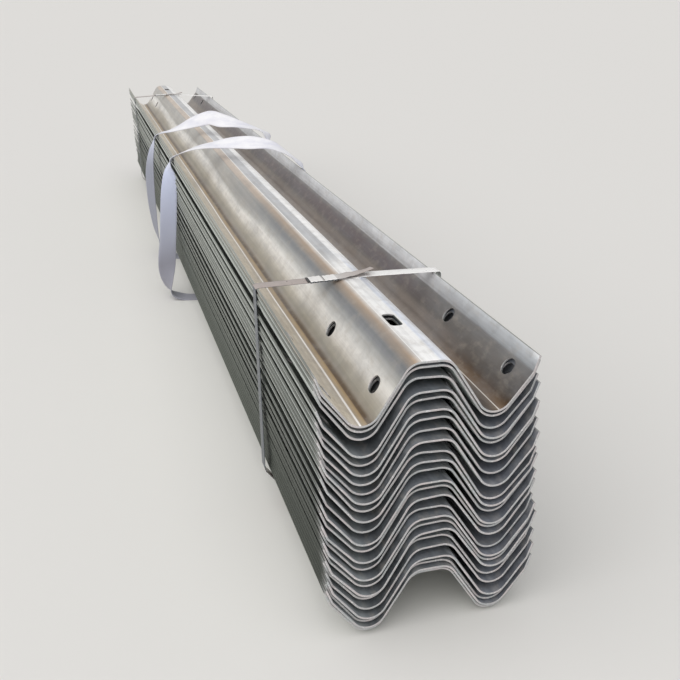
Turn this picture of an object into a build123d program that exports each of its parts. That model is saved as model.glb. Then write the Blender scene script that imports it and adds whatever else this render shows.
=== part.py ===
from build123d import *
from math import asin, atan2, cos, hypot, radians, sin, sqrt, tan
import os

# A strapped bundle of nested two-wave guardrail sections. X runs across the rails, Y along them
# with the front end at low Y, and Z is up. The origin is on the floor, under the bundle's middle.

# The rolled section, with depths and radii to the middle of the sheet
sheet = 3
wave_depth = 81           # from a valley to the crown
crown_width = 54          # between the corners of its two bends
bend_radius = 25.5        # of the crown's corners and the valleys
flank_angle = 57.8        # slope of the two inner flanks
lip_bend_radius = 10
lip_angle = 70            # slope of the lips
lip_reach = 24            # from a lip's edge to the corner of its bend
lip_spread = 62.9         # of a lip's edge from the valley, which makes the beam 310 wide
tip_height = 74           # of a lip's edge above the valley
rail_length = 3320

# Punched holes at both ends: one on each flank in two rows, and a slot in the crown
splice_hole_width = 24
splice_hole_length = 27
splice_hole_height = 34   # above the valley
splice_rows = (53, 266)   # from the rail's end
post_slot_width = 18
post_slot_length = 48
post_slot_corner = 6
post_slot_inset = 155     # from the rail's end
punched_at_top = 1        # rails whose holes can be seen from above
punched_at_bottom = 1     # and from below

# The stack, one value for each rail from the bottom up: how much further it lies from the one below
# than flank to flank, how much its left wave lies above the right one, and how far forward it lies
slacks = (0.7, 0.5, 5.5, 8, 7.5, 8.5, 5, 6, 4.5, 12.5, 7.5, 5.5,
          8.5, 9.5, 6.5, 14, 6, 12, 6.5, 8, 6.5, 11, 10.5, 1.5)
tilts = (3, 3, 3, 0, -5, -3, -11, -5, -2, 0, -10, -4, 1, 1, 9, 14, 5, 0, -4, 2, -4, 2, 12, 5, 6)
bottom_place = 6          # across the bundle, of the bottom rail's middle
top_place = 0             # and about that of the top rail's
staggers = (3, -2, 4, -4, 2, 6, -3, 1, -5, 4, 0, 3, -4, 5, -1, 2, -6, 3, 0, -3, 4, -2, 5, 1, -2)
seat_gap = 0.3            # clearance where one piece lies on another

# Steel straps near both ends, each closed by crimped seals
strap_width = 25
strap_thickness = 0.9
strap_inset = 370         # from the rail's end to the strap's middle
seal_thickness = 1.1
seal_length = 20
seal_places = (-60, -37)  # across the bundle, over the left valley
tail_start = -74          # where the strap's upper end begins
tail_end = 40
tail_rise = 9             # how far that end springs up

# White webbing slings round the middle, slack over the top and beside the bundle
webbing_width = 50
webbing_thickness = 2
sling_offset = 215        # from mid-length to a sling's middle
sling_skew = 230          # how much nearer its right side lies than its left
sling_rise = 50           # above the crown
sling_bow = 40            # out from the lips
sling_bow_height = 95     # of that widest place

half_sheet = sheet / 2
clear_sheet = sheet + seat_gap
floor_to_rail = webbing_thickness + seat_gap
front_end = -rail_length / 2
flank = radians(flank_angle)
lip_cos, lip_sin = cos(radians(lip_angle)), sin(radians(lip_angle))
crown_corner = crown_width / 2
valley_x = crown_corner + (wave_depth - bend_radius) / tan(flank) + bend_radius / sin(flank)
half_width = valley_x + lip_spread - half_sheet * lip_sin


def slope_from_valley(across, up):
    """Slope of a flank from a valley's bend to a corner, placed from the bend's centre."""
    return atan2(up, across) + asin(bend_radius / hypot(across, up))


outer_flank = slope_from_valley(half_width - lip_reach * lip_cos - valley_x,
                                tip_height - lip_reach * lip_sin - bend_radius)
nest = clear_sheet / cos(max(flank, outer_flank))
lifts = [nest + slack for slack in slacks]
rolls = [-tilt / (2 * valley_x) for tilt in tilts]
heights = [floor_to_rail + half_sheet + max(tilts[0], -tilts[0]) / 2]
for lift in lifts:
    heights.append(heights[-1] + lift)

# Each rail lies to one side of the one below, as far as a flank or lip of it lets it go, and that
# is the side which keeps it nearer to the line from the bottom rail's place to the top rail's
edges = [(bottom_place - half_width, bottom_place + half_width)]
for lift, roll, next_roll in zip(lifts, rolls, rolls[1:]):
    (left, right), turn = edges[-1], next_roll - roll
    middle = (left + right) / 2
    axis = bottom_place + (top_place - bottom_place) * len(edges) / len(lifts)
    left_stop = left - ((lift - turn * half_width) * lip_cos - clear_sheet) / lip_sin
    right_stop = right + ((lift + turn * half_width) * lip_cos - clear_sheet) / lip_sin
    flank_room = max(0, ((lift - abs(turn) * valley_x) * cos(flank) - clear_sheet) / sin(flank))
    reach = min(half_width, (right_stop - left_stop) / 2)
    low, high = max(left_stop + reach, middle - flank_room), min(right_stop - reach, middle + flank_room)
    middle = low if abs(low - axis) < abs(high - axis) else high
    edges.append((max(left_stop, middle - half_width), min(right_stop, middle + half_width)))


def half_section(side, middle, edge, base, roll):
    """Corners of the sheet's middle line on one side of a rail, from the crown to the lip."""
    def raised(x, z):
        return x, base + z + roll * (x - middle)

    crown = raised(middle + side * crown_corner, wave_depth)
    valley = raised(middle + side * valley_x, bend_radius)
    tip = raised(edge, tip_height)
    lip = tip[0] - side * lip_reach * lip_cos, tip[1] - lip_reach * lip_sin
    inner, outer = [slope_from_valley(abs(x - valley[0]), z - valley[1]) for x, z in (crown, lip)]
    reach, lean = bend_radius / cos((inner + outer) / 2), (outer - inner) / 2
    corner = valley[0] + side * reach * sin(lean), valley[1] - reach * cos(lean)
    return [crown, corner, lip, tip]


def section(ends, base, roll):
    """All corners of the sheet's middle line, from the left lip to the right one."""
    middle = sum(ends) / 2
    left, right = [half_section(side, middle, edge, base, roll) for side, edge in zip((-1, 1), ends)]
    return left[::-1] + right


sections = [section(*rail) for rail in zip(edges, heights, rolls)]
corner_radii = (lip_bend_radius, bend_radius, bend_radius, bend_radius, bend_radius, lip_bend_radius)
corner_turns = (1, 1, -1, -1, 1, 1)  # 1 where the sheet bends upwards


def offset_corners(points, distance, closed=False):
    """The corners of a line beside the given one, on the left of its direction."""
    runs = [atan2(b[1] - a[1], b[0] - a[0]) for a, b in zip(points, points[1:] + points[:1])]
    result = []
    for i, (x, z) in enumerate(points):
        before, after = runs[i - 1], runs[i]
        if not closed and i == 0:
            before = after
        if not closed and i == len(points) - 1:
            after = before
        middle = atan2(sin(before) + sin(after), cos(before) + cos(after))
        reach = distance / sqrt((1 + cos(after - before)) / 2)
        result.append((x - reach * sin(middle), z + reach * cos(middle)))
    return result


def x_at(a, b, z):
    """Where the line through two corners reaches a height."""
    return a[0] + (z - a[1]) * (b[0] - a[0]) / (b[1] - a[1])


def z_at(a, b, x):
    """The height of the line through two corners at a place across."""
    return a[1] + (x - a[0]) * (b[1] - a[1]) / (b[0] - a[0])


def upright_plane(y):
    """A plane across the bundle, seen from the front."""
    return Plane(origin=(0, y, 0), x_dir=(1, 0, 0), z_dir=(0, -1, 0))


def from_both_ends(front, inset):
    return front + inset, front + rail_length - inset


def hole_planes(corners, base, front):
    """A plane on each flank, square to it, for each of its holes."""
    planes = []
    for a, b in (corners[1:3], corners[2:4], corners[4:6], corners[5:7]):
        slope = atan2(b[1] - a[1], b[0] - a[0])
        for row in splice_rows:
            for y in from_both_ends(front, row):
                z = base + splice_hole_height
                planes.append(Plane(origin=(x_at(a, b, z), y, z), x_dir=(0, 1, 0),
                                    z_dir=(-sin(slope), 0, cos(slope))))
    return planes


def make_rail(corners, base, front, punched):
    crown_x, crown_z = [(a + b) / 2 for a, b in zip(corners[3], corners[4])]
    with BuildPart() as rail:
        with BuildSketch(upright_plane(front)):
            with BuildLine():
                upper = FilletPolyline(*offset_corners(corners, half_sheet), radius=[
                    r - half_sheet * turn for r, turn in zip(corner_radii, corner_turns)])
                lower = FilletPolyline(*offset_corners(corners, -half_sheet), radius=[
                    r + half_sheet * turn for r, turn in zip(corner_radii, corner_turns)])
                Line(upper @ 0, lower @ 0)
                Line(upper @ 1, lower @ 1)
            make_face()
        extrude(amount=-rail_length)
        if punched:
            with BuildSketch(*hole_planes(corners, base, front)):
                SlotOverall(splice_hole_length, splice_hole_width)
            extrude(amount=sheet, both=True, mode=Mode.SUBTRACT)
            with BuildSketch(*[Plane(origin=(crown_x, y, crown_z), x_dir=(0, 1, 0))
                               for y in from_both_ends(front, post_slot_inset)]):
                RectangleRounded(post_slot_length, post_slot_width, post_slot_corner)
            extrude(amount=2 * sheet, both=True, mode=Mode.SUBTRACT)
    return rail.part


# What wraps the bundle seats on the top rail's crown and lips, the widest lips, the bottom rail's
# outer flanks and the floor
over_top = offset_corners(sections[-1], half_sheet + seat_gap)
under_bottom = offset_corners(sections[0], -half_sheet - seat_gap)
lip_edge = half_sheet * lip_cos + seat_gap
left_side = min(left for left, right in edges) - half_sheet * lip_sin - seat_gap
right_side = max(right for left, right in edges) + half_sheet * lip_sin + seat_gap
left_lip = left_side, sections[-1][0][1] + lip_edge
right_lip = right_side, sections[-1][-1][1] + lip_edge
left_flank, right_flank = under_bottom[2:0:-1], under_bottom[5:7]
strap_line = [
    (x_at(*left_flank, strap_thickness), strap_thickness), (left_side, z_at(*left_flank, left_side)),
    left_lip, over_top[3], over_top[4], right_lip,
    (right_side, z_at(*right_flank, right_side)), (x_at(*right_flank, strap_thickness), strap_thickness)]
floor_bend = bend_radius + half_sheet + seat_gap
strap_radii = [floor_bend, lip_bend_radius, 1.5, 6, 6, 1.5, lip_bend_radius, floor_bend]


def above_chord(x, height):
    """A place on the strap's straight run over the left valley, at a height above it."""
    (x0, z0), (x1, z1) = strap_line[2:4]
    slope = atan2(z1 - z0, x1 - x0)
    return (x - height * sin(slope), z0 + (x - x0) * tan(slope) + height * cos(slope)), slope


def make_strap(y):
    """A taut steel strap, with its upper end lying on it past the seals."""
    outer_line = offset_corners(strap_line, strap_thickness, True)
    tail = [above_chord(tail_start, strap_thickness)[0], outer_line[3],
            (tail_end, outer_line[4][1] + tail_rise)]
    with BuildPart() as strap:
        with BuildSketch(upright_plane(y - strap_width / 2)):
            with BuildLine():
                FilletPolyline(*outer_line, radius=[r + strap_thickness for r in strap_radii], close=True)
            make_face()
            with BuildLine():
                FilletPolyline(*strap_line, radius=strap_radii, close=True)
            make_face(mode=Mode.SUBTRACT)
            with BuildLine():
                Polyline(*tail, *reversed(offset_corners(tail, strap_thickness)), close=True)
            make_face()
        extrude(amount=-strap_width)
    return strap.part


def make_seals(y):
    """Crimped sleeves round both layers of the strap."""
    hollow = (strap_width + 2 * seat_gap, 2 * (strap_thickness + seat_gap))
    with BuildPart() as seals:
        for x in seal_places:
            (middle_x, middle_z), slope = above_chord(x, strap_thickness)
            with BuildSketch(Plane(origin=(middle_x, y, middle_z), x_dir=(0, 1, 0),
                                   z_dir=(cos(slope), 0, sin(slope)))):
                Rectangle(*[size + 2 * seal_thickness for size in hollow])
                Rectangle(*hollow, mode=Mode.SUBTRACT)
            extrude(amount=seal_length / 2, both=True)
    return seals.part


side = max(right_side, -left_side)
crown_top = max(over_top[3][1], over_top[4][1])
lip_top = max(left_lip[1], right_lip[1])
sling_half = [(30, crown_top + sling_rise), (120, crown_top + sling_rise / 2), (side + 6, lip_top),
              (side + sling_bow, sling_bow_height), (side + sling_bow / 2, webbing_thickness)]
sling_line = [(-x, z) for x, z in reversed(sling_half)] + sling_half
sling_half_radii = [80, 60, 8, 120, 30]
sling_radii = sling_half_radii[::-1] + sling_half_radii


def make_sling(y):
    """A slack webbing loop, running askew over the top and under the bottom."""
    reach = (webbing_width + sling_skew) / 2
    with BuildPart() as sling:
        with BuildSketch(upright_plane(y - reach)):
            with BuildLine():
                FilletPolyline(*offset_corners(sling_line, webbing_thickness, True),
                               radius=[r + webbing_thickness for r in sling_radii], close=True)
            make_face()
            with BuildLine():
                FilletPolyline(*sling_line, radius=sling_radii, close=True)
            make_face(mode=Mode.SUBTRACT)
        extrude(amount=-2 * reach)
        with BuildSketch(Plane.XY):
            with BuildLine():
                left, right, edge = y + sling_skew / 2, y - sling_skew / 2, webbing_width / 2
                outside = side + 2 * sling_bow
                Polyline((-outside, left - edge), (-side, left - edge), (side, right - edge),
                         (outside, right - edge), (outside, right + edge), (side, right + edge),
                         (-side, left + edge), (-outside, left + edge), close=True)
            make_face()
        extrude(amount=crown_top + 2 * sling_rise, mode=Mode.INTERSECT)
    return sling.part


pieces = {}
for k, corners in enumerate(sections):
    number = len(sections) - k  # rail_01 is on top
    punched = number <= punched_at_top or k < punched_at_bottom
    pieces[f"rail_{number:02d}"] = make_rail(corners, heights[k], front_end + staggers[k], punched)
strap_place = front_end + strap_inset
pieces["strap_front"] = make_strap(strap_place)
pieces["strap_front_seals"] = make_seals(strap_place)
pieces["strap_rear"] = make_strap(-strap_place)
pieces["strap_rear_seals"] = make_seals(-strap_place)
pieces["sling_near"] = make_sling(-sling_offset)
pieces["sling_far"] = make_sling(sling_offset)

os.makedirs("parts", exist_ok=True)
for name, piece in pieces.items():
    piece.label = name
    export_step(piece, f"parts/{name}.step")
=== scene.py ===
from math import asin, atan2, ceil, copysign, cos, hypot, pi, radians, sin, tan

import bmesh
import bpy
from mathutils import Euler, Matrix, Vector


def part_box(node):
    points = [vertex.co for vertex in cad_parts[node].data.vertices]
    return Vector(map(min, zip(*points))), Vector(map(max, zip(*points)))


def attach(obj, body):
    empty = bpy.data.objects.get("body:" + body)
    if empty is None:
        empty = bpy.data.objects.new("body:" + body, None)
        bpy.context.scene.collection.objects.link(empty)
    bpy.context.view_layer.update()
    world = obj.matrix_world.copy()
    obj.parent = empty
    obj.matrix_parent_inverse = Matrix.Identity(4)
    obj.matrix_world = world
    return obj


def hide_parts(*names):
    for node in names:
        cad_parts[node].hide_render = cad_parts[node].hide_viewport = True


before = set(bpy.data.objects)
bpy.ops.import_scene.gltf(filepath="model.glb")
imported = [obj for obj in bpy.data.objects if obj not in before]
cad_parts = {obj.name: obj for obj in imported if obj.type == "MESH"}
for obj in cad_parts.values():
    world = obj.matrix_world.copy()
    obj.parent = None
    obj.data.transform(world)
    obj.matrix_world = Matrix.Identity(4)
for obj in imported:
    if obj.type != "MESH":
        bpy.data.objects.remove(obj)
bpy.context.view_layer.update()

mm = 0.001
sharpAngle = 50  # edges that turn by more than this are rounded
print("packed frame loaded,", len(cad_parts), "nodes")


class Wire:  # a socket that takes part in Python sums
    def __init__(self, graph, socket):
        self.graph, self.socket = graph, socket

    def maths(self, operation, *values):
        return self.graph.add("ShaderNodeMath", {"operation": operation}, dict(enumerate(values)))

    def __add__(self, other): return self.maths("ADD", self, other)
    def __radd__(self, other): return self.maths("ADD", other, self)
    def __sub__(self, other): return self.maths("SUBTRACT", self, other)
    def __rsub__(self, other): return self.maths("SUBTRACT", other, self)
    def __mul__(self, other): return self.maths("MULTIPLY", self, other)
    def __rmul__(self, other): return self.maths("MULTIPLY", other, self)
    def __abs__(self): return self.maths("ABSOLUTE", self)
    def sine(self): return self.maths("SINE", self)

    def band(self, low, high, soft):  # 1 between two values, with soft edges
        rise = self.graph.add("ShaderNodeMapRange", {"interpolation_type": "SMOOTHSTEP"},
                              {0: self, 1: low - soft, 2: low + soft})
        fall = self.graph.add("ShaderNodeMapRange", {"interpolation_type": "SMOOTHSTEP"},
                              {0: self, 1: high - soft, 2: high + soft})
        return rise * (1 - fall)

    def ramp(self, low, high, start=0.0, end=1.0):
        return self.graph.add("ShaderNodeMapRange", {}, {0: self, 1: low, 2: high, 3: start, 4: end})


class Graph:
    def __init__(self, name):
        self.material = bpy.data.materials.new(name)
        self.material.use_nodes = True
        self.tree = self.material.node_tree
        self.tree.nodes.clear()

    def add(self, kind, settings, sockets, out=0):
        node = self.tree.nodes.new(kind)
        for key, value in settings.items():
            if key == "stops":
                ramp = node.color_ramp
                for place, _ in value[1:-1]:
                    ramp.elements.new(place)
                ramp.elements[0].position, ramp.elements[-1].position = value[0][0], value[-1][0]
                for element, (_, color) in zip(ramp.elements, value):
                    element.color = (*color, 1)
            else:
                setattr(node, key, value)
        for key, value in sockets.items():
            if isinstance(value, Wire):
                self.tree.links.new(value.socket, node.inputs[key])
            else:
                node.inputs[key].default_value = (*value, 1) if (
                    node.inputs[key].type == "RGBA" and len(value) == 3) else value
        return Wire(self, node.outputs[out]) if node.outputs else None

    def mix(self, factor, a, b, blend="MIX"):
        return self.add("ShaderNodeMix", {"data_type": "RGBA", "blend_type": blend},
                        {0: factor, 6: a, 7: b}, out=2)

    def noise(self, place, scale, detail=3.0, rough=0.5, stretch=(1, 1, 1)):
        spread = self.add("ShaderNodeMapping", {}, {0: place, 3: stretch})
        return self.add("ShaderNodeTexNoise", {}, {"Vector": spread, "Scale": scale, "Detail": detail,
                                                   "Roughness": rough})

    def bump(self, height, strength, distance):
        return self.add("ShaderNodeBump", {}, {"Strength": strength, "Distance": distance, "Height": height})

    def finish(self, sockets):
        shader = self.add("ShaderNodeBsdfPrincipled", {}, sockets)
        self.add("ShaderNodeOutputMaterial", {}, {0: shader})
        return self.material


def rgb(code):  # a colour as it is seen, made linear
    parts = [int(code[i:i + 2], 16) / 255 for i in (0, 2, 4)]
    return tuple(c / 12.92 if c < 0.04045 else ((c + 0.055) / 1.055) ** 2.4 for c in parts)


# bends a flat blank along a guide line: its X runs along the line, its Y along the stored direction
def bendTree():
    tree = bpy.data.node_groups.new("bendAlongGuide", "GeometryNodeTree")
    face = tree.interface
    face.new_socket("Blank", in_out="INPUT", socket_type="NodeSocketGeometry")
    face.new_socket("Guide", in_out="INPUT", socket_type="NodeSocketObject")
    face.new_socket("Finish", in_out="INPUT", socket_type="NodeSocketMaterial")
    face.new_socket("Bent", in_out="OUTPUT", socket_type="NodeSocketGeometry")

    def add(kind, **settings):
        node = tree.nodes.new(kind)
        for key, value in settings.items():
            setattr(node, key, value)
        return node

    link = tree.links.new
    entry, leave = add("NodeGroupInput"), add("NodeGroupOutput")
    guide = add("GeometryNodeObjectInfo")
    line = add("GeometryNodeMeshToCurve")
    across = add("GeometryNodeInputNamedAttribute", data_type="FLOAT_VECTOR")
    across.inputs["Name"].default_value = "across"
    place = add("GeometryNodeInputPosition")
    split = add("ShaderNodeSeparateXYZ")
    sample = add("GeometryNodeSampleCurve", mode="LENGTH", data_type="FLOAT_VECTOR", use_all_curves=True)
    scaled = add("ShaderNodeVectorMath", operation="SCALE")
    total = add("ShaderNodeVectorMath", operation="ADD")
    move = add("GeometryNodeSetPosition")
    real = add("GeometryNodeRealizeInstances")
    paint = add("GeometryNodeSetMaterial")
    link(entry.outputs["Guide"], guide.inputs["Object"])
    link(guide.outputs["Geometry"], line.inputs[0])
    link(line.outputs[0], sample.inputs["Curves"])
    link(across.outputs[0], [s for s in sample.inputs if s.name == "Value" and s.enabled][0])
    link(place.outputs[0], split.inputs[0])
    link(split.outputs["X"], sample.inputs["Length"])
    link([s for s in sample.outputs if s.name == "Value" and s.enabled][0], scaled.inputs[0])
    link(split.outputs["Y"], scaled.inputs["Scale"])
    link(sample.outputs["Position"], total.inputs[0])
    link(scaled.outputs[0], total.inputs[1])
    link(entry.outputs["Blank"], move.inputs["Geometry"])
    link(total.outputs[0], move.inputs["Position"])
    link(move.outputs[0], real.inputs[0])
    link(real.outputs[0], paint.inputs["Geometry"])
    link(entry.outputs["Finish"], paint.inputs["Material"])
    link(paint.outputs[0], leave.inputs[0])
    return tree


bending = bendTree()


def putIn(data, name):
    piece = bpy.data.objects.new(name, data)
    bpy.context.scene.collection.objects.link(piece)
    return piece


def guideLine(points, across):
    mesh = bpy.data.meshes.new("guide")
    mesh.from_pydata([tuple(p) for p in points], [(i, i + 1) for i in range(len(points) - 1)], [])
    store = mesh.attributes.new("across", "FLOAT_VECTOR", "POINT")
    for item, direction in zip(store.data, across):
        item.vector = direction
    return putIn(mesh, "guide")


def plainMesh(piece):  # the result of its modifiers, with smooth faces
    baked = bpy.data.meshes.new_from_object(piece.evaluated_get(bpy.context.evaluated_depsgraph_get()))
    piece.modifiers.clear()
    old, piece.data = piece.data, baked
    bpy.data.meshes.remove(old)
    for polygon in baked.polygons:
        polygon.use_smooth = True


def roundEdges(piece, width):
    edge = piece.modifiers.new("edge", "BEVEL")
    edge.width, edge.segments, edge.limit_method, edge.angle_limit = width, 2, "ANGLE", radians(sharpAngle)
    return edge


def bend(name, blank, guide, finish, thickness, rim, closed=False, cutFinish=None):
    piece = putIn(blank, name)
    bender = piece.modifiers.new("bend", "NODES")
    bender.node_group = bending
    ids = {s.name: s.identifier for s in bending.interface.items_tree if s.in_out == "INPUT"}
    bender[ids["Guide"]] = guide
    bender[ids["Finish"]] = finish
    if closed:  # where the band's two ends meet
        weld = piece.modifiers.new("weld", "WELD")
        weld.merge_threshold = 0.4 * mm
    shell = piece.modifiers.new("shell", "SOLIDIFY")
    shell.thickness, shell.offset = thickness, 0
    if cutFinish:  # the sheet's cut edges, round the outside and in the holes
        blank.materials.append(finish)
        blank.materials.append(cutFinish)
        shell.material_offset_rim = 1
    edge = roundEdges(piece, rim)
    edge.harden_normals = True
    edge.material = 1 if cutFinish else -1
    plainMesh(piece)
    drop = guide.data
    bpy.data.objects.remove(guide)
    bpy.data.meshes.remove(drop)
    return piece


galvanised = dict(
    roughness=0.38, metallic=0.5, lowMetallic=0.05, mottle=0.65, lowMottle=0.6, spangle=70,
    cool="8c9096", warm="b3aa9e", bump=0.3, bumpDepth=0.0005,
    # how many waves to a metre, across and along
    broad=(9, 1.3, 1), streak=(150, 1.4, 1), cloud=(30, 8, 1), smear=(60, 34, 1),
    # in metres: how far the stripes wander, how much further on the left flank, and where that flank lies
    wander=0.008, flankWander=0.035, flank=(-0.1, -0.045, 0.015),
    # tones across the developed section, in millimetres from the crown's middle: partly the zinc's own tone and
    # partly painted light, a painted highlight on the crown, the left inner flank and the right lip, painted shade on
    # the right inner flank and in the right valley
    topTones=[(-232, "cbc5bc"), (-206, "e6dfd1"), (-146, "e7dfd0"), (-134, "b5aa9b"), (-131, "a9977f"),
              (-125.5, "af966f"), (-123, "513f2c"), (-119, "66543f"), (-114, "a19a8f"), (-106, "b0aca2"),
              (-95, "cecac2"), (-85, "efedea"), (-72, "f6f5f3"), (-60, "c2c2c0"), (-46, "909296"), (-36, "828487"),
              (-30, "8f857c"), (-21, "b29d88"), (-12, "f2f0ee"), (-8, "ffffff"), (10, "fdfdfd"), (14, "e3e9f6"),
              (29, "f3f3f5"), (33, "b9bbc6"), (42, "7a7470"), (130, "5f5348"), (142, "6b5846"), (152, "64513f"),
              (166, "625c57"), (207, "7a7877"), (210, "bfc3c7"), (232, "c9ccd0")],
    # stripes that come in further along: millimetres across and how soft, then along the rail where they start and
    # are full; they change the painted light along the rail, the crown's left half going into painted shade and its
    # right half into a painted highlight
    topStripes=[(-64, -30, 3, -900, -300, "bab8b4"), (-30, -13, 2, -900, -300, "cdbfb2"),
                (38, 172, 9, -1540, -1370, "8f857e"), (176, 202, 7, -1400, -1150, "655b5d"),
                (208, 233, 2, -1500, -1250, "dadbde"),
                (-12, 9, 1.5, -1250, -1150, "c6c8cc"), (12, 30, 1.5, -1250, -1150, "ffffff")],
    # thin bright lines where the bends catch the light, and how soft they are
    topLines=[(-135.6, -132.4, "fbf9f6"), (-14, -12.6, "ffffff"), (138, 139.4, "ece7e0")], lineSoft=0.6,
    # of the sheets below, seen between the rims: their upper faces, and one tone for their under faces; much of this
    # is painted light: painted shade deep in the gaps, lighter tones on the right inner flanks where the rails above
    # keep the light out, the lips and left flanks lighter away from the front end, which stays in painted shade, and
    # the under faces lit up by a lighter tone
    lowTones=[(-232, "7d8186"), (-204, "7d8186"), (-160, "8c9094"), (-142, "858a8e"), (-130, "62666b"),
              (-115, "3b3e41"), (-60, "45484c"), (-38, "62666c"), (0, "5d6167"), (20, "54575b"), (32, "96989e"),
              (48, "d4d6db"), (75, "a9abb2"), (98, "666970"), (122, "7b7f89"), (160, "4b4e56"), (200, "585b62"),
              (232, "5b5e66")],
    lowStripes=[(-240, -168, 8, -1640, -1460, "d4d9d4")],
    lowUnder="c0c5bf",
    # of the sheared ends: warm, cool and the drops, whose near-white tone is a painted glint, then of the long rims:
    # near the floor and at the top, the darker tone near the floor being painted shade, and how much painted shade
    # darkens them at the front end
    cutEdge=("c6bfbf", "b4b7b8", "f0eeee"), longEdge=("52564f", "989b95"), frontShade=0.55,
    dropsAndGlints=420, runs=60, edgeRoughness=0.5, edgeMetallic=0.25, edgeBump=0.5, edgeBumpDepth=0.0004)


def galvanisedFinish(name, seed, tones, stripes, lines, mottle, metallic, under=None):
    g = Graph(name)
    uv = g.add("ShaderNodeUVMap", {"uv_map": "sheet"}, {})
    across = g.add("ShaderNodeSeparateXYZ", {}, {0: uv})
    along = Wire(g, across.socket.node.outputs[1])
    shifted = g.add("ShaderNodeVectorMath", {"operation": "ADD"}, {0: uv, 1: (seed * 3.7, seed * 1.9, 0)})
    broad = g.noise(shifted, 1.0, 2, 0.5, galvanised["broad"])
    streak = g.noise(shifted, 1.0, 4, 0.6, galvanised["streak"])
    cloud = g.noise(shifted, 1.0, 5, 0.62, galvanised["cloud"])
    smear = g.noise(shifted, 1.0, 4, 0.6, galvanised["smear"])
    grain = g.noise(shifted, galvanised["spangle"] * 8, 2, 0.5)
    spangle = g.add("ShaderNodeTexVoronoi", {"feature": "F1"}, {"Vector": shifted, "Scale": galvanised["spangle"]},
                    out=1)
    facet = g.add("ShaderNodeSeparateColor", {}, {0: spangle})
    place = across + (broad - 0.5) * (galvanised["wander"]
                                      + across.band(*galvanised["flank"]) * galvanised["flankWander"])
    half = -tones[0][0] * mm
    stops = [((x * mm + half) / (2 * half), rgb(code)) for x, code in tones]
    # the tones and stripes carry painted highlights and painted shade besides the zinc's own tone
    color = g.add("ShaderNodeValToRGB", {"stops": stops}, {0: place.ramp(-half, half)})
    for low, high, soft, start, end, tone in stripes:
        mask = place.band(low * mm, high * mm, soft * mm) * along.ramp(start * mm, end * mm)
        color = g.mix(mask, color, rgb(tone))
    # faces that point down take the lighter under tone, painted light that lifts the shade in the gaps between the
    # sheets
    if under:
        facing = g.add("ShaderNodeSeparateXYZ", {}, {0: g.add("ShaderNodeNewGeometry", {}, {}, out=1)}, out=2)
        color = g.mix(facing.ramp(-0.1, 0.1), rgb(under), color)
    color = g.mix(cloud.ramp(0.42, 0.68, 0, 0.5) * mottle, color, rgb(galvanised["cool"]))
    color = g.mix(smear.ramp(0.5, 0.75, 0, 0.5) * mottle, color, rgb(galvanised["warm"]))
    color = g.mix(1, color, streak.ramp(0.3, 0.75, 0.9, 1.12) * facet.ramp(0, 1, 0.96, 1.07), "MULTIPLY")
    for low, high, tone in lines:
        mask = place.band(low * mm, high * mm, galvanised["lineSoft"] * mm) * streak.ramp(0.35, 0.55, 0.6, 1)
        color = g.mix(mask, color, rgb(tone))
    rough = galvanised["roughness"] + (cloud - 0.5) * 0.3 + (facet - 0.5) * 0.08
    height = facet * 0.2 + grain * 0.25 + streak * 0.6 + smear * 0.8
    normal = g.bump(height, galvanised["bump"], galvanised["bumpDepth"])
    return g.finish({"Base Color": color, "Roughness": rough, "Metallic": metallic, "Normal": normal})


def cutEdgeFinish():  # zinc run over the sheared ends with small drops that carry painted near-white glints, and along the rims painted shade, darker near the floor and at the front end
    g = Graph("galvanisedCutEdge")
    spot = g.add("ShaderNodeTexCoord", {}, {}, out=3)
    dropsAndGlints = g.noise(spot, galvanised["dropsAndGlints"], 3, 0.6)
    run = g.noise(spot, galvanised["runs"], 3, 0.5)
    height = g.add("ShaderNodeSeparateXYZ", {}, {0: spot}, out=2)
    away = g.add("ShaderNodeSeparateXYZ", {}, {0: spot}, out=1)
    facing = abs(g.add("ShaderNodeSeparateXYZ", {}, {0: g.add("ShaderNodeNewGeometry", {}, {}, out=1)}, out=1))
    sheared = facing.ramp(0.2, 0.7)
    warm, cool, drop = map(rgb, galvanised["cutEdge"])
    color = g.mix(run.ramp(0.35, 0.65), warm, cool)
    # the drops' near-white tone is a painted glint
    color = g.mix(dropsAndGlints.ramp(0.55, 0.75), color, drop)
    # the long rims darker near the floor and towards the front end: painted shade
    long = g.mix(height.ramp(0.1, 0.4), *map(rgb, galvanised["longEdge"]))
    long = g.mix(1, long, away.ramp(-1.66, -1, galvanised["frontShade"], 1), "MULTIPLY")
    color = g.mix(sheared, long, color)
    rough = galvanised["edgeRoughness"] + (dropsAndGlints - 0.5) * sheared * 0.5
    normal = g.bump(dropsAndGlints * sheared, galvanised["edgeBump"], galvanised["edgeBumpDepth"])
    return g.finish({"Base Color": color, "Roughness": rough, "Metallic": galvanised["edgeMetallic"],
                     "Normal": normal})


# millimetres and degrees: depth and radii to the middle of the sheet, the lips' spread to their outer faces
railSize = dict(sheet=3, waveDepth=81, crownWidth=54, bendRadius=25.5, flankAngle=57.8,
                lipBendRadius=10, lipAngle=70, lipReach=24, lipSpread=62.9, tipHeight=74, length=3320,
                hole=(24, 27), holeHeight=34, holeRows=(53, 266), slot=(18, 48), slotCorner=6, slotInset=155,
                rim=0.35)

# how far the faces round a hole reach from its middle, and the least they keep from a bend; the pairs are
# for the plain rails and for the fine ones: cuts along a hole's sides, longest face and degrees to a chord
railMesh = dict(holeRoom=17, slotRoom=(12.6, 29), holeClear=0.4, slotClear=0.1, straightRun=9, cutClear=0.5,
                holeCuts=(5, 8), slotCuts=((4, 6), (6, 10)), longest=(260, 120), bendCuts=(8, 4.5))

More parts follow.
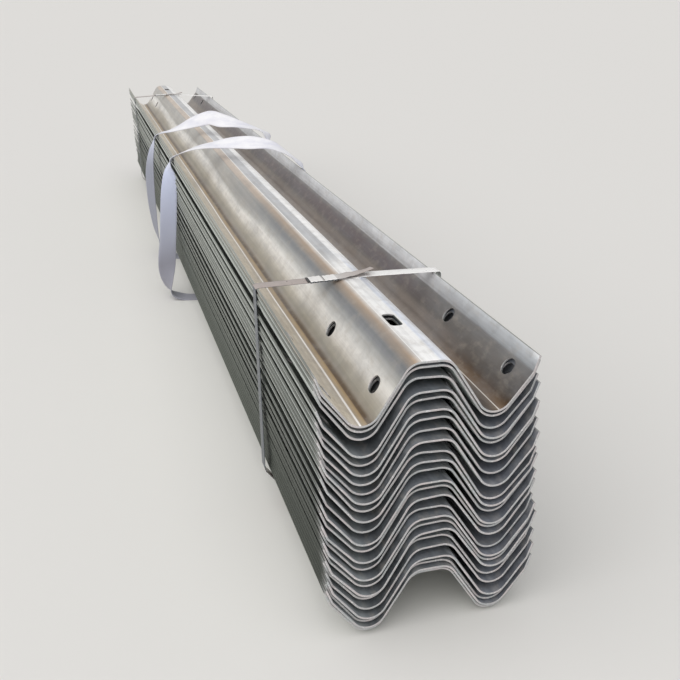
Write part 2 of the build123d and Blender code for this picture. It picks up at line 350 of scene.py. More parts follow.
# one value for each rail from the bottom up: how much further it lies from the one below than flank to
# flank, how much its left wave lies above the right one, and how far forward it lies
stackSize = dict(
    floorToRail=2.3, gap=0.3, bottomPlace=6, topPlace=0,
    slacks=(0.7, 0.5, 5.5, 8, 7.5, 8.5, 5, 6, 4.5, 12.5, 7.5, 5.5,
            8.5, 9.5, 6.5, 14, 6, 12, 6.5, 8, 6.5, 11, 10.5, 1.5),
    tilts=(3, 3, 3, 0, -5, -3, -11, -5, -2, 0, -10, -4, 1, 1, 9, 14, 5, 0, -4, 2, -4, 2, 12, 5, 6),
    staggers=(3, -2, 4, -4, 2, 6, -3, 1, -5, 4, 0, 3, -4, 5, -1, 2, -6, 3, 0, -3, 4, -2, 5, 1, -2))


def between(a, b, share):
    return a + (b - a) * share


def slopeFromValley(across, up):  # of the line through a point that touches the valley's bend
    r = railSize["bendRadius"]
    return atan2(up, across) + asin(r / hypot(across, up))


def stackedSections():
    s, t = railSize, stackSize
    r, flank, lip = s["bendRadius"], radians(s["flankAngle"]), radians(s["lipAngle"])
    crown = s["crownWidth"] / 2
    valley = crown + (s["waveDepth"] - r) / tan(flank) + r / sin(flank)
    half = valley + s["lipSpread"] - s["sheet"] / 2 * sin(lip)
    clear = s["sheet"] + t["gap"]
    outer = slopeFromValley(half - s["lipReach"] * cos(lip) - valley,
                            s["tipHeight"] - s["lipReach"] * sin(lip) - r)
    nest = clear / cos(max(flank, outer))
    lifts = [nest + slack for slack in t["slacks"]]
    rolls = [-tilt / (2 * valley) for tilt in t["tilts"]]
    heights = [t["floorToRail"] + s["sheet"] / 2 + abs(t["tilts"][0]) / 2]
    for lift in lifts:
        heights.append(heights[-1] + lift)
    edges = [(t["bottomPlace"] - half, t["bottomPlace"] + half)]
    # a rail lies to one side of the one below, as far as a flank or a lip lets it, on the side that keeps it
    # nearer to the line from the bottom rail's place to the top rail's
    for lift, roll, nextRoll in zip(lifts, rolls, rolls[1:]):
        (left, right), turn = edges[-1], nextRoll - roll
        middle = (left + right) / 2
        leftStop = left - ((lift - turn * half) * cos(lip) - clear) / sin(lip)
        rightStop = right + ((lift + turn * half) * cos(lip) - clear) / sin(lip)
        room = max(0, ((lift - abs(turn) * valley) * cos(flank) - clear) / sin(flank))
        reach = min(half, (rightStop - leftStop) / 2)
        axis = between(t["bottomPlace"], t["topPlace"], len(edges) / len(lifts))
        low, high = max(leftStop + reach, middle - room), min(rightStop - reach, middle + room)
        middle = low if abs(low - axis) < abs(high - axis) else high
        edges.append((max(leftStop, middle - half), min(rightStop, middle + half)))

    def halfSection(side, middle, edge, base, roll):
        def raised(x, z):
            return x, base + z + roll * (x - middle)
        top = raised(middle + side * crown, s["waveDepth"])
        centre = raised(middle + side * valley, r)
        tip = raised(edge, s["tipHeight"])
        lipCorner = tip[0] - side * s["lipReach"] * cos(lip), tip[1] - s["lipReach"] * sin(lip)
        a, b = [slopeFromValley(abs(x - centre[0]), z - centre[1]) for x, z in (top, lipCorner)]
        reach, lean = r / cos((a + b) / 2), (b - a) / 2
        return [top, (centre[0] + side * reach * sin(lean), centre[1] - reach * cos(lean)), lipCorner, tip]

    sections = []
    for ends, base, roll in zip(edges, heights, rolls):
        left, right = [halfSection(side, sum(ends) / 2, edge, base, roll) for side, edge in zip((-1, 1), ends)]
        sections.append(left[::-1] + right)
    return sections, heights, edges


def filletLine(corners, radii, stepAngle, closed=False):
    # the line with its bends as short chords, and how far along it each point lies
    count = len(corners)
    points = []
    for i, corner in enumerate(corners):
        b = Vector(corner)
        if not closed and i in (0, count - 1):
            points.append(b)
        else:
            a, c = Vector(corners[i - 1]), Vector(corners[(i + 1) % count])
            u, v = (a - b).normalized(), (c - b).normalized()
            opening = u.angle(v)
            r = radii[i] if closed else radii[i - 1]
            centre = b + (u + v).normalized() * (r / sin(opening / 2))
            first, last = b + u * (r / tan(opening / 2)), b + v * (r / tan(opening / 2))
            turn = pi - opening
            steps = max(1, ceil(turn / stepAngle))
            begin = atan2(first.y - centre.y, first.x - centre.x)
            end = atan2(last.y - centre.y, last.x - centre.x)
            swing = (end - begin + pi) % (2 * pi) - pi
            points.append(first)
            for n in range(1, steps):
                angle = begin + swing * n / steps
                points.append(centre + Vector((cos(angle), sin(angle))) * r)
            points.append(last)
    lengths = [0.0]
    for p, q in zip(points, points[1:]):
        lengths.append(lengths[-1] + (q - p).length)
    return points, lengths


def roundedOutline(angle, halfAcross, halfAlong, corner):
    # how far a hole's edge lies from its middle in one direction
    direction = Vector((cos(angle), sin(angle)))
    low, high = 0.0, halfAcross + halfAlong
    for _ in range(24):
        middle = (low + high) / 2
        p = direction * middle
        q = Vector((abs(p.x) - halfAcross + corner, abs(p.y) - halfAlong + corner))
        outside = Vector((max(q.x, 0), max(q.y, 0))).length + min(max(q.x, q.y), 0) - corner
        low, high = (middle, high) if outside < 0 else (low, middle)
    return direction * low


def railBlank(name, points, lengths, base, front, fine):
    s, m = railSize, railMesh
    # straight runs are the long chords of the line
    runs = [(lengths[i], lengths[i + 1], points[i], points[i + 1]) for i in range(len(points) - 1)
            if lengths[i + 1] - lengths[i] > m["straightRun"]]
    crown = runs[3]
    middle = (crown[0] + crown[1]) / 2
    rear = front + s["length"]
    holes = []
    for n in (1, 2, 4, 5):
        s0, s1, p0, p1 = runs[n]
        place = s0 + (base + s["holeHeight"] - p0.y) / (p1.y - p0.y) * (s1 - s0)
        room = min(m["holeRoom"], place - s0 - m["holeClear"], s1 - place - m["holeClear"])
        for row in s["holeRows"]:
            for y in (front + row, rear - row):
                holes.append((place, y, room, m["holeRoom"], m["holeCuts"][fine], m["holeCuts"][fine],
                              (s["hole"][0] / 2, s["hole"][1] / 2, s["hole"][0] / 2)))
    room = min(m["slotRoom"][0], (crown[1] - crown[0]) / 2 - m["slotClear"])
    for y in (front + s["slotInset"], rear - s["slotInset"]):
        holes.append((middle, y, room, m["slotRoom"][1], *m["slotCuts"][fine],
                      (s["slot"][0] / 2, s["slot"][1] / 2, s["slotCorner"])))
    xs, ys = set(round(v, 4) for v in lengths), {front, rear}
    for x, y, halfX, halfY, nx, ny, _ in holes:
        xs.update(round(x - halfX + 2 * halfX * i / nx, 4) for i in range(nx + 1))
        ys.update(round(y - halfY + 2 * halfY * i / ny, 4) for i in range(ny + 1))
    for y0, y1 in zip(sorted(ys), sorted(ys)[1:]):
        parts = ceil((y1 - y0) / m["longest"][fine])
        ys.update(round(y0 + (y1 - y0) * i / parts, 4) for i in range(1, parts))
    xs, ys = sorted(xs), sorted(ys)
    fixed = sorted(set(round(h[0] + side * h[2], 4) for h in holes for side in (-1, 1)))
    xs = [x for x in xs if x in fixed or all(abs(x - f) > m["cutClear"] for f in fixed)]
    bm = bmesh.new()
    grid = {}

    def corner(i, j):
        if (i, j) not in grid:
            grid[i, j] = bm.verts.new((xs[i] * mm, ys[j] * mm, 0))
        return grid[i, j]

    def nearest(values, value):
        return min(range(len(values)), key=lambda i: abs(values[i] - value))

    patches = []
    for x, y, halfX, halfY, _, _, outline in holes:
        patches.append((nearest(xs, x - halfX), nearest(xs, x + halfX), nearest(ys, y - halfY),
                        nearest(ys, y + halfY), x, y, outline))
    skipped = {(i, j) for i0, i1, j0, j1, *_ in patches for i in range(i0, i1) for j in range(j0, j1)}
    for i in range(len(xs) - 1):
        for j in range(len(ys) - 1):
            if (i, j) not in skipped:
                bm.faces.new((corner(i, j), corner(i + 1, j), corner(i + 1, j + 1), corner(i, j + 1)))
    for i0, i1, j0, j1, x, y, outline in patches:
        loop = [(i, j0) for i in range(i0, i1)] + [(i1, j) for j in range(j0, j1)]
        loop += [(i, j1) for i in range(i1, i0, -1)] + [(i0, j) for j in range(j1, j0, -1)]
        outer = [corner(i, j) for i, j in loop]
        inner = []
        for vert in outer:
            away = Vector((vert.co.x / mm - x, vert.co.y / mm - y))
            edge = roundedOutline(atan2(away.y, away.x), *outline)
            inner.append(bm.verts.new(((x + edge.x) * mm, (y + edge.y) * mm, 0)))
        half = [bm.verts.new(a.co * 0.3 + b.co * 0.7) for a, b in zip(outer, inner)]
        for ringA, ringB in ((outer, half), (half, inner)):
            for n in range(len(outer)):
                after = (n + 1) % len(outer)
                bm.faces.new((ringA[n], ringA[after], ringB[after], ringB[n]))
    layer = bm.loops.layers.uv.new("sheet")
    for item in bm.faces:
        for loop in item.loops:
            loop[layer].uv = (loop.vert.co.x - middle * mm, loop.vert.co.y)
    mesh = bpy.data.meshes.new(name)
    bm.to_mesh(mesh)
    bm.free()
    return mesh


sections, heights, edges = stackedSections()
count = len(sections)
topFinish = galvanisedFinish("galvanisedTopSheet", 3, galvanised["topTones"], galvanised["topStripes"],
                             galvanised["topLines"], galvanised["mottle"], galvanised["metallic"])
lowFinishes = [galvanisedFinish(f"galvanisedSheet{n}", n, galvanised["lowTones"], galvanised["lowStripes"], [],
                                galvanised["lowMottle"], galvanised["lowMetallic"], galvanised["lowUnder"])
               for n in range(3)]
cutEdge = cutEdgeFinish()
frontEnd = -railSize["length"] / 2
for k, corners in enumerate(sections):
    number = count - k
    fine = number <= 2 or k == 0  # the top two and the lowest
    bendRadii = (railSize["lipBendRadius"], *[railSize["bendRadius"]] * 4, railSize["lipBendRadius"])
    points, lengths = filletLine(corners, bendRadii, radians(railMesh["bendCuts"][fine]))
    blank = railBlank(f"rail{number:02d}Sheet", points, lengths, heights[k], frontEnd + stackSize["staggers"][k],
                      fine)
    guide = guideLine([(p.x * mm, 0, p.y * mm) for p in points], [(0, 1, 0)] * len(points))
    finish = topFinish if number == 1 else lowFinishes[number % 3]
    piece = bend(f"rail{number:02d}Sheet", blank, guide, finish, railSize["sheet"] * mm, railSize["rim"] * mm,
                 cutFinish=cutEdge)
    node = f"rail_{number:02d}"
    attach(piece, "root")
    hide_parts(node)
    if number in (1, 12, 25):
        low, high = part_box(node)
        mine = [min(v.co[i] for v in piece.data.vertices) for i in range(3)]
        print("rail", number, "faces", len(piece.data.polygons), "off its CAD node by mm",
              [round((a - b) / mm, 2) for a, b in zip(mine, low)])
print("rails rolled")


def offsetLine(points, distance, closed=False):  # moved to the left of its direction
    count = len(points)
    runs = [(Vector(points[(i + 1) % count]) - Vector(points[i])).normalized() for i in range(count)]
    moved = []
    for i, point in enumerate(points):
        before, after = runs[i - 1], runs[i]
        if not closed and i == 0:
            before = after
        if not closed and i == count - 1:
            after = before
        middle = (before + after).normalized()
        moved.append(Vector(point) + Vector((-middle.y, middle.x)) * distance / middle.dot(before))
    return moved


def smoothPath(points, gap):
    # a smooth line through given points, in steps no longer than the gap
    dense = []
    for i in range(len(points) - 1):
        p0, p1, p2, p3 = [Vector(points[min(max(i + n, 0), len(points) - 1)]) for n in (-1, 0, 1, 2)]
        reach = max((p2 - p1).length, 1)
        m1 = (p2 - p0) * reach / max((p2 - p1).length + (p1 - p0).length, 1)
        m2 = (p3 - p1) * reach / max((p3 - p2).length + reach, 1)
        steps = max(2, ceil(reach / gap))
        for n in range(steps):
            t = n / steps
            dense.append(p1 * (2 * t**3 - 3 * t**2 + 1) + m1 * (t**3 - 2 * t**2 + t)
                         + p2 * (3 * t**2 - 2 * t**3) + m2 * (t**3 - t**2))
    dense.append(Vector(points[-1]))
    return dense


def bandBlank(name, length, width, stepLong, stepAcross):
    bm = bmesh.new()
    across = max(2, ceil(width / stepAcross))
    steps = max(1, ceil(length / stepLong))
    rows = [[bm.verts.new((length * i / steps * mm, (j / across - 0.5) * width * mm, 0))
             for j in range(across + 1)] for i in range(steps + 1)]
    for r0, r1 in zip(rows, rows[1:]):
        for j in range(across):
            bm.faces.new((r0[j], r1[j], r1[j + 1], r0[j + 1]))
    layer = bm.loops.layers.uv.new("sheet")
    for item in bm.faces:
        for loop in item.loops:
            loop[layer].uv = loop.vert.co.xy
    mesh = bpy.data.meshes.new(name)
    bm.to_mesh(mesh)
    bm.free()
    return mesh


def pathLength(points):
    return sum((b - a).length for a, b in zip(points, points[1:]))


# millimetres: the seals and the loose end are given by their places across the bundle, and each strap by
# how far along the rails it lies at its left side, over the crown and at its right side
strapSize = dict(
    width=25, thickness=0.9, gap=0.3, rim=0.2, floorBendExtra=2, sideBend=10, lipBend=1.5, crownBend=6, bendCut=9,
    places=((-1290, -1303, -1272), (1290, 1298, 1282)), loopCuts=(6, 8),
    # the loose end: how far it stands up, where it turns sideways and by how much, and where it twists
    tail=((-74, 0.2), (-66, 0), (-40, 0), (-27, 0.6), (-14, 0.2), (-4, 1.6), (5, 1), (14, 2.2), (26, 2.6), (40, 5)),
    tailGap=0.15, tailSkew=0.04, tailTurn=(-4, 40, 4), tailTwist=(-10, 30, -0.22), tailCuts=(3, 6),
    seals=(-60, -37), sealLength=20, sealThickness=1.1, sealRoom=1, sealLift=0.1, sealWall=0.8, sealRim=0.15,
    sealSquareness=0.35, sealFlare=0.25, bites=(0.3, 0.7), biteReach=0.1, biteDepth=2.2, biteBulge=0.15)
sealRings, sealSides = 20, 28

# tones of a strap's left and right half, the right half's white a painted highlight, its loose end, its left side
# darkened as painted shade, its seals, worn places and its cut
strapFinish = dict(left="b5aaa6", right="ffffff", tail="d5d2d0", side="4d555e", seal="f6f5f4", dull="8f8784",
                   cut="2c2b2c", wear=(90, 120, 1), worn=0.4, roughness=0.32, metallic=0.55, bump=0.3,
                   bumpDepth=0.0002)


def strapSteel(name, left, right, cut=False):
    g = Graph(name)
    uv = g.add("ShaderNodeUVMap", {"uv_map": "sheet"}, {})
    x = g.add("ShaderNodeSeparateXYZ", {}, {0: g.add("ShaderNodeTexCoord", {}, {}, out=3)})
    up = abs(g.add("ShaderNodeSeparateXYZ", {}, {0: g.add("ShaderNodeNewGeometry", {}, {}, out=1)}, out=2))
    worn = g.noise(uv, 1, 4, 0.65, strapFinish["wear"])
    # the right half's white is a painted highlight beside the left half's tone
    color = g.mix(x.ramp(-0.03, 0.02), rgb(left), rgb(right))
    color = g.mix(worn.ramp(0.55, 0.75) * strapFinish["worn"], color, rgb(strapFinish["dull"]))
    # side faces on the left darkened: painted shade
    color = g.mix(up.ramp(0.3, 0.55, 1, 0) * x.ramp(-0.01, 0.01, 1, 0), color, rgb(strapFinish["side"]))
    if cut:
        along = g.add("ShaderNodeSeparateXYZ", {}, {0: uv})
        color = g.mix(along.ramp(0.004, 0.007, 1, 0), color, rgb(strapFinish["cut"]))
    rough = strapFinish["roughness"] + (worn - 0.5) * 0.3
    return g.finish({"Base Color": color, "Roughness": rough, "Metallic": strapFinish["metallic"],
                     "Normal": g.bump(worn, strapFinish["bump"], strapFinish["bumpDepth"])})


strapMetal = strapSteel("strapSteel", strapFinish["left"], strapFinish["right"])
tailMetal = strapSteel("strapTail", strapFinish["tail"], strapFinish["left"], True)
sealMetal = strapSteel("strapSeal", strapFinish["seal"], strapFinish["seal"])
topOver = offsetLine(sections[-1], railSize["sheet"] / 2 + strapSize["gap"])
bottomUnder = offsetLine(sections[0], -railSize["sheet"] / 2 - strapSize["gap"])
lipEdge = railSize["sheet"] / 2 * cos(radians(railSize["lipAngle"])) + strapSize["gap"]
lipSide = railSize["sheet"] / 2 * sin(radians(railSize["lipAngle"])) + strapSize["gap"]
leftSide, rightSide = min(e[0] for e in edges) - lipSide, max(e[1] for e in edges) + lipSide
leftLip = Vector((leftSide, sections[-1][0][1] + lipEdge))
rightLip = Vector((rightSide, sections[-1][-1][1] + lipEdge))
leftFlank, rightFlank = (bottomUnder[2], bottomUnder[1]), (bottomUnder[5], bottomUnder[6])


def onRun(a, b, axis, value):  # the point between two corners where one coordinate has this value
    share = (value - a[axis]) / (b[axis] - a[axis])
    return a + (b - a) * share


def strapLoop(lift):
    # its inner line from under the left flank, up over the crown and down again, moved out by the lift
    s = strapSize
    corners = [onRun(*leftFlank, 1, s["thickness"]), onRun(*leftFlank, 0, leftSide), leftLip, topOver[3],
               topOver[4], rightLip, onRun(*rightFlank, 0, rightSide), onRun(*rightFlank, 1, s["thickness"])]
    moved = offsetLine(corners, lift, True)
    bends = [railSize["bendRadius"] + s["floorBendExtra"], s["sideBend"], s["lipBend"], s["crownBend"]]
    points, _ = filletLine(moved, [r + lift for r in bends + bends[::-1]], radians(s["bendCut"]), True)
    return points + [points[0]], moved


def strapY(place, x):  # how far along the rails a strap lies at this place across
    left, middle, right = place
    if x < topOver[3].x:
        return between(left, middle, max(0, (x - leftSide) / (topOver[3].x - leftSide)))
    return between(middle, right, min(1, (x - topOver[3].x) / (rightSide - topOver[3].x)))


def joinPieces(name, pieces):
    bm = bmesh.new()
    mesh = bpy.data.meshes.new(name)
    for index, piece in enumerate(pieces):
        for polygon in piece.data.polygons:
            polygon.material_index = index
        bm.from_mesh(piece.data)
        mesh.materials.append(piece.data.materials[0])
    bm.to_mesh(mesh)
    bm.free()
    for piece in pieces:
        old = piece.data
        bpy.data.objects.remove(piece)
        bpy.data.meshes.remove(old)
    for polygon in mesh.polygons:
        polygon.use_smooth = True
    return putIn(mesh, name)


def makeStrap(name, node, place):
    s = strapSize
    half, thick, rim = s["thickness"] / 2, s["thickness"] * mm, s["rim"] * mm
    flat = strapLoop(half)[0]
    points = [Vector((p.x, strapY(place, p.x), p.y)) for p in flat]
    guide = guideLine([p * mm for p in points], [(0, 1, 0)] * len(points))
    blank = bandBlank("loop", pathLength(points), s["width"], *s["loopCuts"])
    loop = bend(name + "Loop", blank, guide, strapMetal, thick, rim, True)
    # the upper end lies on the loop, crumples past the seals and springs up
    over = strapLoop(3 * half + s["tailGap"])[1]
    slope = (over[3].y - over[2].y) / (over[3].x - over[2].x)
    turnStart, turnEnd, sideways = s["tailTurn"]
    twistStart, twistEnd, twist = s["tailTwist"]
    spots = []
    for x, up in s["tail"]:
        swing = sideways * max(0, (x - turnStart) / (turnEnd - turnStart))
        spots.append((x, strapY(place, x) + swing, over[3].y + slope * (min(x, over[3].x) - over[3].x) + up))
    tail = smoothPath(spots, s["tailCuts"][0])
    leans = [(s["tailSkew"], 1, twist * max(0, min(1, (p.x - twistStart) / (twistEnd - twistStart)))) for p in tail]
    guide = guideLine([p * mm for p in tail], leans)
    blank = bandBlank("end", pathLength(tail), s["width"], *s["tailCuts"])
    end = bend(name + "End", blank, guide, tailMetal, thick, rim)
    piece = joinPieces(name, [loop, end])
    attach(piece, "root")
    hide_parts(node)


def makeSeals(name, node, place):
    # a sleeve bent round both layers, pinched where the crimping tool bit
    bm = bmesh.new()
    lip, crown = strapLoop(0)[1][2:4]
    t, s = strapSize["thickness"], strapSize
    slope = (crown.y - lip.y) / (crown.x - lip.x)
    run, up = Vector((1, 0, slope)).normalized(), Vector((-slope, 0, 1)).normalized()
    layer = bm.loops.layers.uv.new("sheet")
    for middle in s["seals"]:
        centre = Vector((middle, strapY(place, middle), lip.y + slope * (middle - lip.x)))
        centre += up * (t + s["sealLift"])
        halfWidth, halfDeep = s["width"] / 2 + s["sealRoom"], t + s["sealThickness"]
        rings = []
        for n in range(sealRings + 1):
            share = n / sealRings
            along = (share - 0.5) * s["sealLength"]
            bite = sum(max(0, 1 - abs(share - b) / s["biteReach"]) for b in s["bites"])
            flare = s["sealFlare"] if n in (0, sealRings) else 0
            ring = []
            for angle in range(sealSides):
                turn = 2 * pi * angle / sealSides
                cx, cz = cos(turn), sin(turn)
                wide = copysign(abs(cx) ** s["sealSquareness"], cx) * (halfWidth - s["biteDepth"] * bite)
                deep = copysign(abs(cz) ** s["sealSquareness"], cz) * (halfDeep + s["biteBulge"] * bite * abs(cx))
                spot = centre + run * along + Vector((0, wide, 0)) + up * (deep + flare * cz)
                ring.append(bm.verts.new(spot * mm))
            rings.append(ring)
        for r0, r1 in zip(rings, rings[1:]):
            for n in range(sealSides):
                after = (n + 1) % sealSides
                for loop in bm.faces.new((r0[n], r0[after], r1[after], r1[n])).loops:
                    loop[layer].uv = loop.vert.co.xy
    bmesh.ops.recalc_face_normals(bm, faces=bm.faces)
    mesh = bpy.data.meshes.new(name)
    bm.to_mesh(mesh)
    bm.free()
    mesh.materials.append(sealMetal)
    piece = putIn(mesh, name)
    shell = piece.modifiers.new("shell", "SOLIDIFY")
    shell.thickness, shell.offset = s["sealWall"] * mm, -1
    roundEdges(piece, s["sealRim"] * mm)
    plainMesh(piece)
    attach(piece, "root")
    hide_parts(node)


for end, place in zip(("front", "rear"), strapSize["places"]):
    makeStrap(f"{end}Strap", f"strap_{end}", place)
    makeSeals(f"{end}Seals", f"strap_{end}_seals", place)
print("straps closed")

# millimetres; the width's direction is smoothed along with the path, as an arrow of leanLength
slingSize = dict(width=50, thickness=2, rim=0.5, step=9, stepAcross=6, leanLength=60)

# tones of the clean webbing and of its soil, which also darkens the weave's hollows as painted shade, of its hanging
# sides in painted shade, darker near the floor as painted shade, of the far sling in deeper painted shade, and along
# the edges
webbingFinish = dict(base="f1f0f3", shade="d3d3e0", hanging="b9c2de", low="8b8a94", far="8a8c98", hem="b8b6c4",
                     hemPlace=(0.019, 0.024), hemTone=0.15, soil=(16, 30, 1), thread=0.0011, roughness=0.85,
                     sheen=0.25, bump=0.5, bumpDepth=0.0004)


def webbingWeave():
    g = Graph("whiteWebbing")
    uv = g.add("ShaderNodeUVMap", {"uv_map": "sheet"}, {})
    along = g.add("ShaderNodeSeparateXYZ", {}, {0: uv})
    across = Wire(g, along.socket.node.outputs[1])
    ribs = (across * (pi / webbingFinish["thread"])).sine()
    picks = (along * (2 * pi / webbingFinish["thread"])).sine()
    weave = ribs * picks * 0.5 + 0.5
    soil = g.noise(uv, 1, 4, 0.6, webbingFinish["soil"])
    edge = abs(across).ramp(*webbingFinish["hemPlace"])
    color = g.mix(soil.ramp(0.4, 0.75), rgb(webbingFinish["base"]), rgb(webbingFinish["shade"]))
    # the weave's hollows take the soil's tone: painted shade
    color = g.mix(weave.ramp(0, 0.4, 0.25, 0), color, rgb(webbingFinish["shade"]))
    place = g.add("ShaderNodeSeparateXYZ", {}, {0: g.add("ShaderNodeTexCoord", {}, {}, out=3)})
    depth, height = (Wire(g, place.socket.node.outputs[n]) for n in (1, 2))
    # lower down the webbing darkens: painted shade on the hanging sides and near the floor, deeper on the far sling
    color = g.mix(height.ramp(0.36, 0.42, 0.8, 0), color, rgb(webbingFinish["hanging"]))
    color = g.mix(height.ramp(0.1, 0.36, 0.95, 0), color, rgb(webbingFinish["low"]))
    color = g.mix(height.ramp(0.3, 0.41, 0.8, 0) * depth.ramp(0.05, 0.15), color, rgb(webbingFinish["far"]))
    color = g.mix(edge * webbingFinish["hemTone"], color, rgb(webbingFinish["hem"]))
    normal = g.bump(weave + soil * 0.8, webbingFinish["bump"], webbingFinish["bumpDepth"])
    return g.finish({"Base Color": color, "Roughness": webbingFinish["roughness"], "Normal": normal,
                     "Sheen Weight": webbingFinish["sheen"]})


webbing = webbingWeave()

# places down the webbing's middle in millimetres, from under the right side over the top and round,
# each with the direction of its width
slingPaths = {
    "near": [
        ((113, -299, 1.1), (0.6, 0.8, 0)), ((136, -316, 18), (0.5, 0.85, 0.1)), ((157, -330, 60), (0, 1, 0)),
        ((160, -332, 200), (0, 1, 0)), ((160, -333, 385), (0, 1, 0)), ((155, -330, 401), (0.3, 0.95, 0)),
        ((139, -318, 418), (0.45, 0.85, -0.25)), ((116, -301, 433.5), (0.45, 0.85, -0.1)),
        ((85, -278, 449), (0.5, 0.8, 0.2)), ((38, -243, 453), (0.5, 0.69, 0.52)),
        ((7, -220, 452), (0.52, 0.7, 0.49)), ((-25, -196, 448), (0.55, 0.74, 0.39)),
        ((-58, -172, 441.5), (0.58, 0.78, 0.2)), ((-91, -147, 433), (0.6, 0.8, 0.12)),
        ((-125, -122, 419), (0.6, 0.8, 0.05)), ((-150, -104, 404), (0.5, 0.87, 0)),
        ((-161, -98, 385), (0.1, 0.99, 0)), ((-166, -95, 352), (-0.6, 0.8, 0)), ((-173, -95, 300), (-0.82, 0.57, 0)),
        ((-180, -95, 230), (-0.87, 0.5, 0)), ((-187, -95, 165), (-0.87, 0.5, 0)), ((-195, -97, 105), (-0.95, 0.3, 0)),
        ((-199, -102, 55), (-0.6, 0.8, 0)), ((-190, -110, 18), (0, 1, 0)), ((-165, -118, 4), (0.4, 0.9, 0)),
        ((-140, -124, 1.1), (0.6, 0.8, 0)), ((-110, -134, 1.1), (0.6, 0.8, 0)), ((0, -215, 1.1), (0.6, 0.8, 0)),
        ((113, -299, 1.1), (0.6, 0.8, 0))],
    "far": [
        ((113, 131, 1.1), (0.6, 0.8, 0)), ((136, 114, 18), (0.5, 0.85, 0.1)), ((157, 100, 60), (0, 1, 0)),
        ((160, 98, 200), (0, 1, 0)), ((160, 97, 385), (0, 1, 0)), ((156, 100, 410), (0.5, 0.87, 0)),
        ((145, 107, 424), (0.45, 0.85, -0.2)), ((109, 134, 435), (0.47, 0.85, 0)),
        ((73, 160, 443.5), (0.52, 0.8, 0.25)), ((30, 193, 451.5), (0.45, 0.6, 0.66)),
        ((4, 212, 459), (0.4, 0.54, 0.74)), ((-14, 225, 456), (0.38, 0.48, 0.78)),
        ((-57, 257, 440.5), (0.47, 0.63, 0.62)), ((-105, 293, 419), (0.58, 0.77, 0.25)),
        ((-132, 313, 409), (0.6, 0.8, 0.05)), ((-154, 329, 400), (0.4, 0.9, 0)), ((-168, 339, 372), (0, 1, 0)),
        ((-181, 346, 330), (-0.25, 0.95, 0)), ((-189, 350, 275), (-0.42, 0.9, 0)),
        ((-191, 350, 215), (-0.42, 0.9, 0)), ((-190, 347, 150), (-0.35, 0.92, 0)),
        ((-184, 338, 75), (-0.1, 1, 0)), ((-168, 328, 20), (0.3, 0.95, 0)), ((-146, 319, 2.5), (0.6, 0.8, 0)),
        ((-110, 297, 1.1), (0.6, 0.8, 0)), ((0, 215, 1.1), (0.6, 0.8, 0)), ((113, 131, 1.1), (0.6, 0.8, 0))],
}

for side, path in slingPaths.items():
    both = smoothPath([(*place, *(Vector(lean).normalized() * slingSize["leanLength"])) for place, lean in path],
                      slingSize["step"])
    points = [Vector(p[:3]) for p in both]
    leans = []
    for i, p in enumerate(both):
        run = (points[min(i + 1, len(points) - 1)] - points[max(i - 1, 0)]).normalized()
        lean = Vector(p[3:])
        leans.append((lean - run * lean.dot(run)).normalized())
    length = pathLength(points)
    guide = guideLine([p * mm for p in points], leans)
    blank = bandBlank("sling", length, slingSize["width"], slingSize["step"], slingSize["stepAcross"])
    sling = bend(f"{side}Sling", blank, guide, webbing, slingSize["thickness"] * mm, slingSize["rim"] * mm, True)
    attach(sling, "root")
    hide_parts(f"sling_{side}")
    print(side, "sling is", round(length), "mm long")
print("slings hung")

stage = dict(floor="dad8d5", floorRoughness=0.9, floorLevel=-0.0008, floorSides=(-30, 30), floorEnds=(-30, 60),
             sky=0.5, skyColor=(0.95, 0.97, 1), sun=2.0, sunAngle=90, sunColor=(1, 0.985, 0.96),
             sunFrom=(-0.45, -0.4, 1), fill=10, fillPlace=(-3.5, -2.6, 1.6), fillTarget=(0, -0.9, 0.2),
             fillSize=2.0, fillColor=(0.97, 0.99, 1))
view = dict(sensor=36, lens=48.04, place=(-0.3966, -2.6435, 0.862), turn=(1.18825, 0.01566, -0.2796))

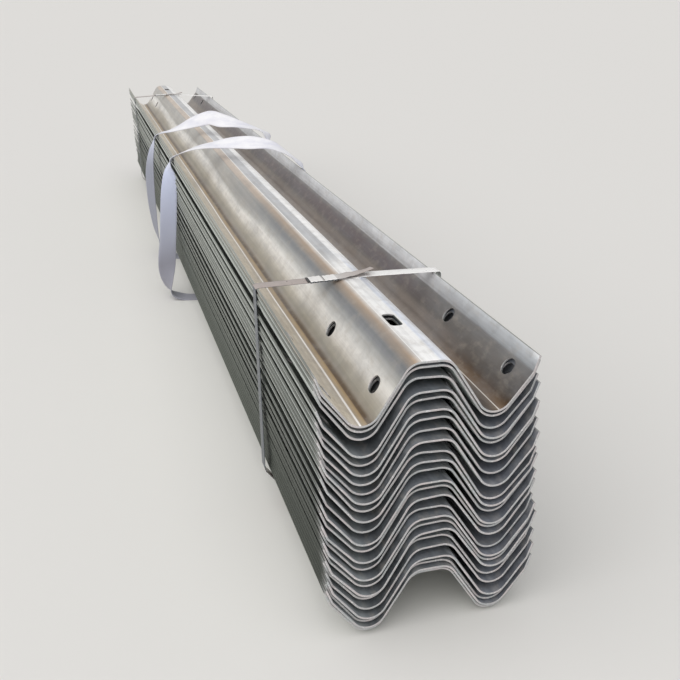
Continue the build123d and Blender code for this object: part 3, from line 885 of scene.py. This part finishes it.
floorMesh = bpy.data.meshes.new("floor")
(left, right), (near, far), level = stage["floorSides"], stage["floorEnds"], stage["floorLevel"]
floorMesh.from_pydata([(left, near, level), (right, near, level), (right, far, level), (left, far, level)], [],
                      [(0, 1, 2, 3)])
floor = putIn(floorMesh, "floor")
g = Graph("paleFloor")
floorMesh.materials.append(g.finish({"Base Color": rgb(stage["floor"]), "Roughness": stage["floorRoughness"]}))

world = bpy.data.worlds.new("studio")
bpy.context.scene.world = world
world.use_nodes = True
nodes, links = world.node_tree.nodes, world.node_tree.links
nodes.clear()
lit, seen = nodes.new("ShaderNodeBackground"), nodes.new("ShaderNodeBackground")
lit.inputs["Color"].default_value, lit.inputs["Strength"].default_value = (*stage["skyColor"], 1), stage["sky"]
seen.inputs["Color"].default_value, seen.inputs["Strength"].default_value = (*rgb(stage["floor"]), 1), 1
rays, either, choose, out = [nodes.new(kind) for kind in (
    "ShaderNodeLightPath", "ShaderNodeMath", "ShaderNodeMixShader", "ShaderNodeOutputWorld")]
either.operation = "MAXIMUM"
links.new(rays.outputs["Is Camera Ray"], either.inputs[0])
links.new(rays.outputs["Is Glossy Ray"], either.inputs[1])
links.new(either.outputs[0], choose.inputs[0])
links.new(lit.outputs[0], choose.inputs[1])
links.new(seen.outputs[0], choose.inputs[2])
links.new(choose.outputs[0], out.inputs[0])

sun = putIn(bpy.data.lights.new("sun", "SUN"), "sun")
sun.data.energy, sun.data.angle, sun.data.color = stage["sun"], radians(stage["sunAngle"]), stage["sunColor"]
sun.rotation_euler = Vector(stage["sunFrom"]).to_track_quat("Z", "Y").to_euler()

lamp = putIn(bpy.data.lights.new("sideLight", "AREA"), "sideLight")
lamp.data.shape, lamp.data.size, lamp.data.size_y = "RECTANGLE", stage["fillSize"], stage["fillSize"]
lamp.data.energy, lamp.data.color = stage["fill"], stage["fillColor"]
lamp.location = stage["fillPlace"]
lamp.rotation_euler = (Vector(stage["fillTarget"]) - lamp.location).to_track_quat("-Z", "Y").to_euler()

camera = putIn(bpy.data.cameras.new("camera"), "camera")
camera.data.sensor_width, camera.data.lens = view["sensor"], view["lens"]
camera.location = view["place"]
camera.rotation_euler = Euler(view["turn"])
bpy.context.scene.camera = camera
bpy.context.scene.view_settings.view_transform = "Standard"
print("stage and camera set")
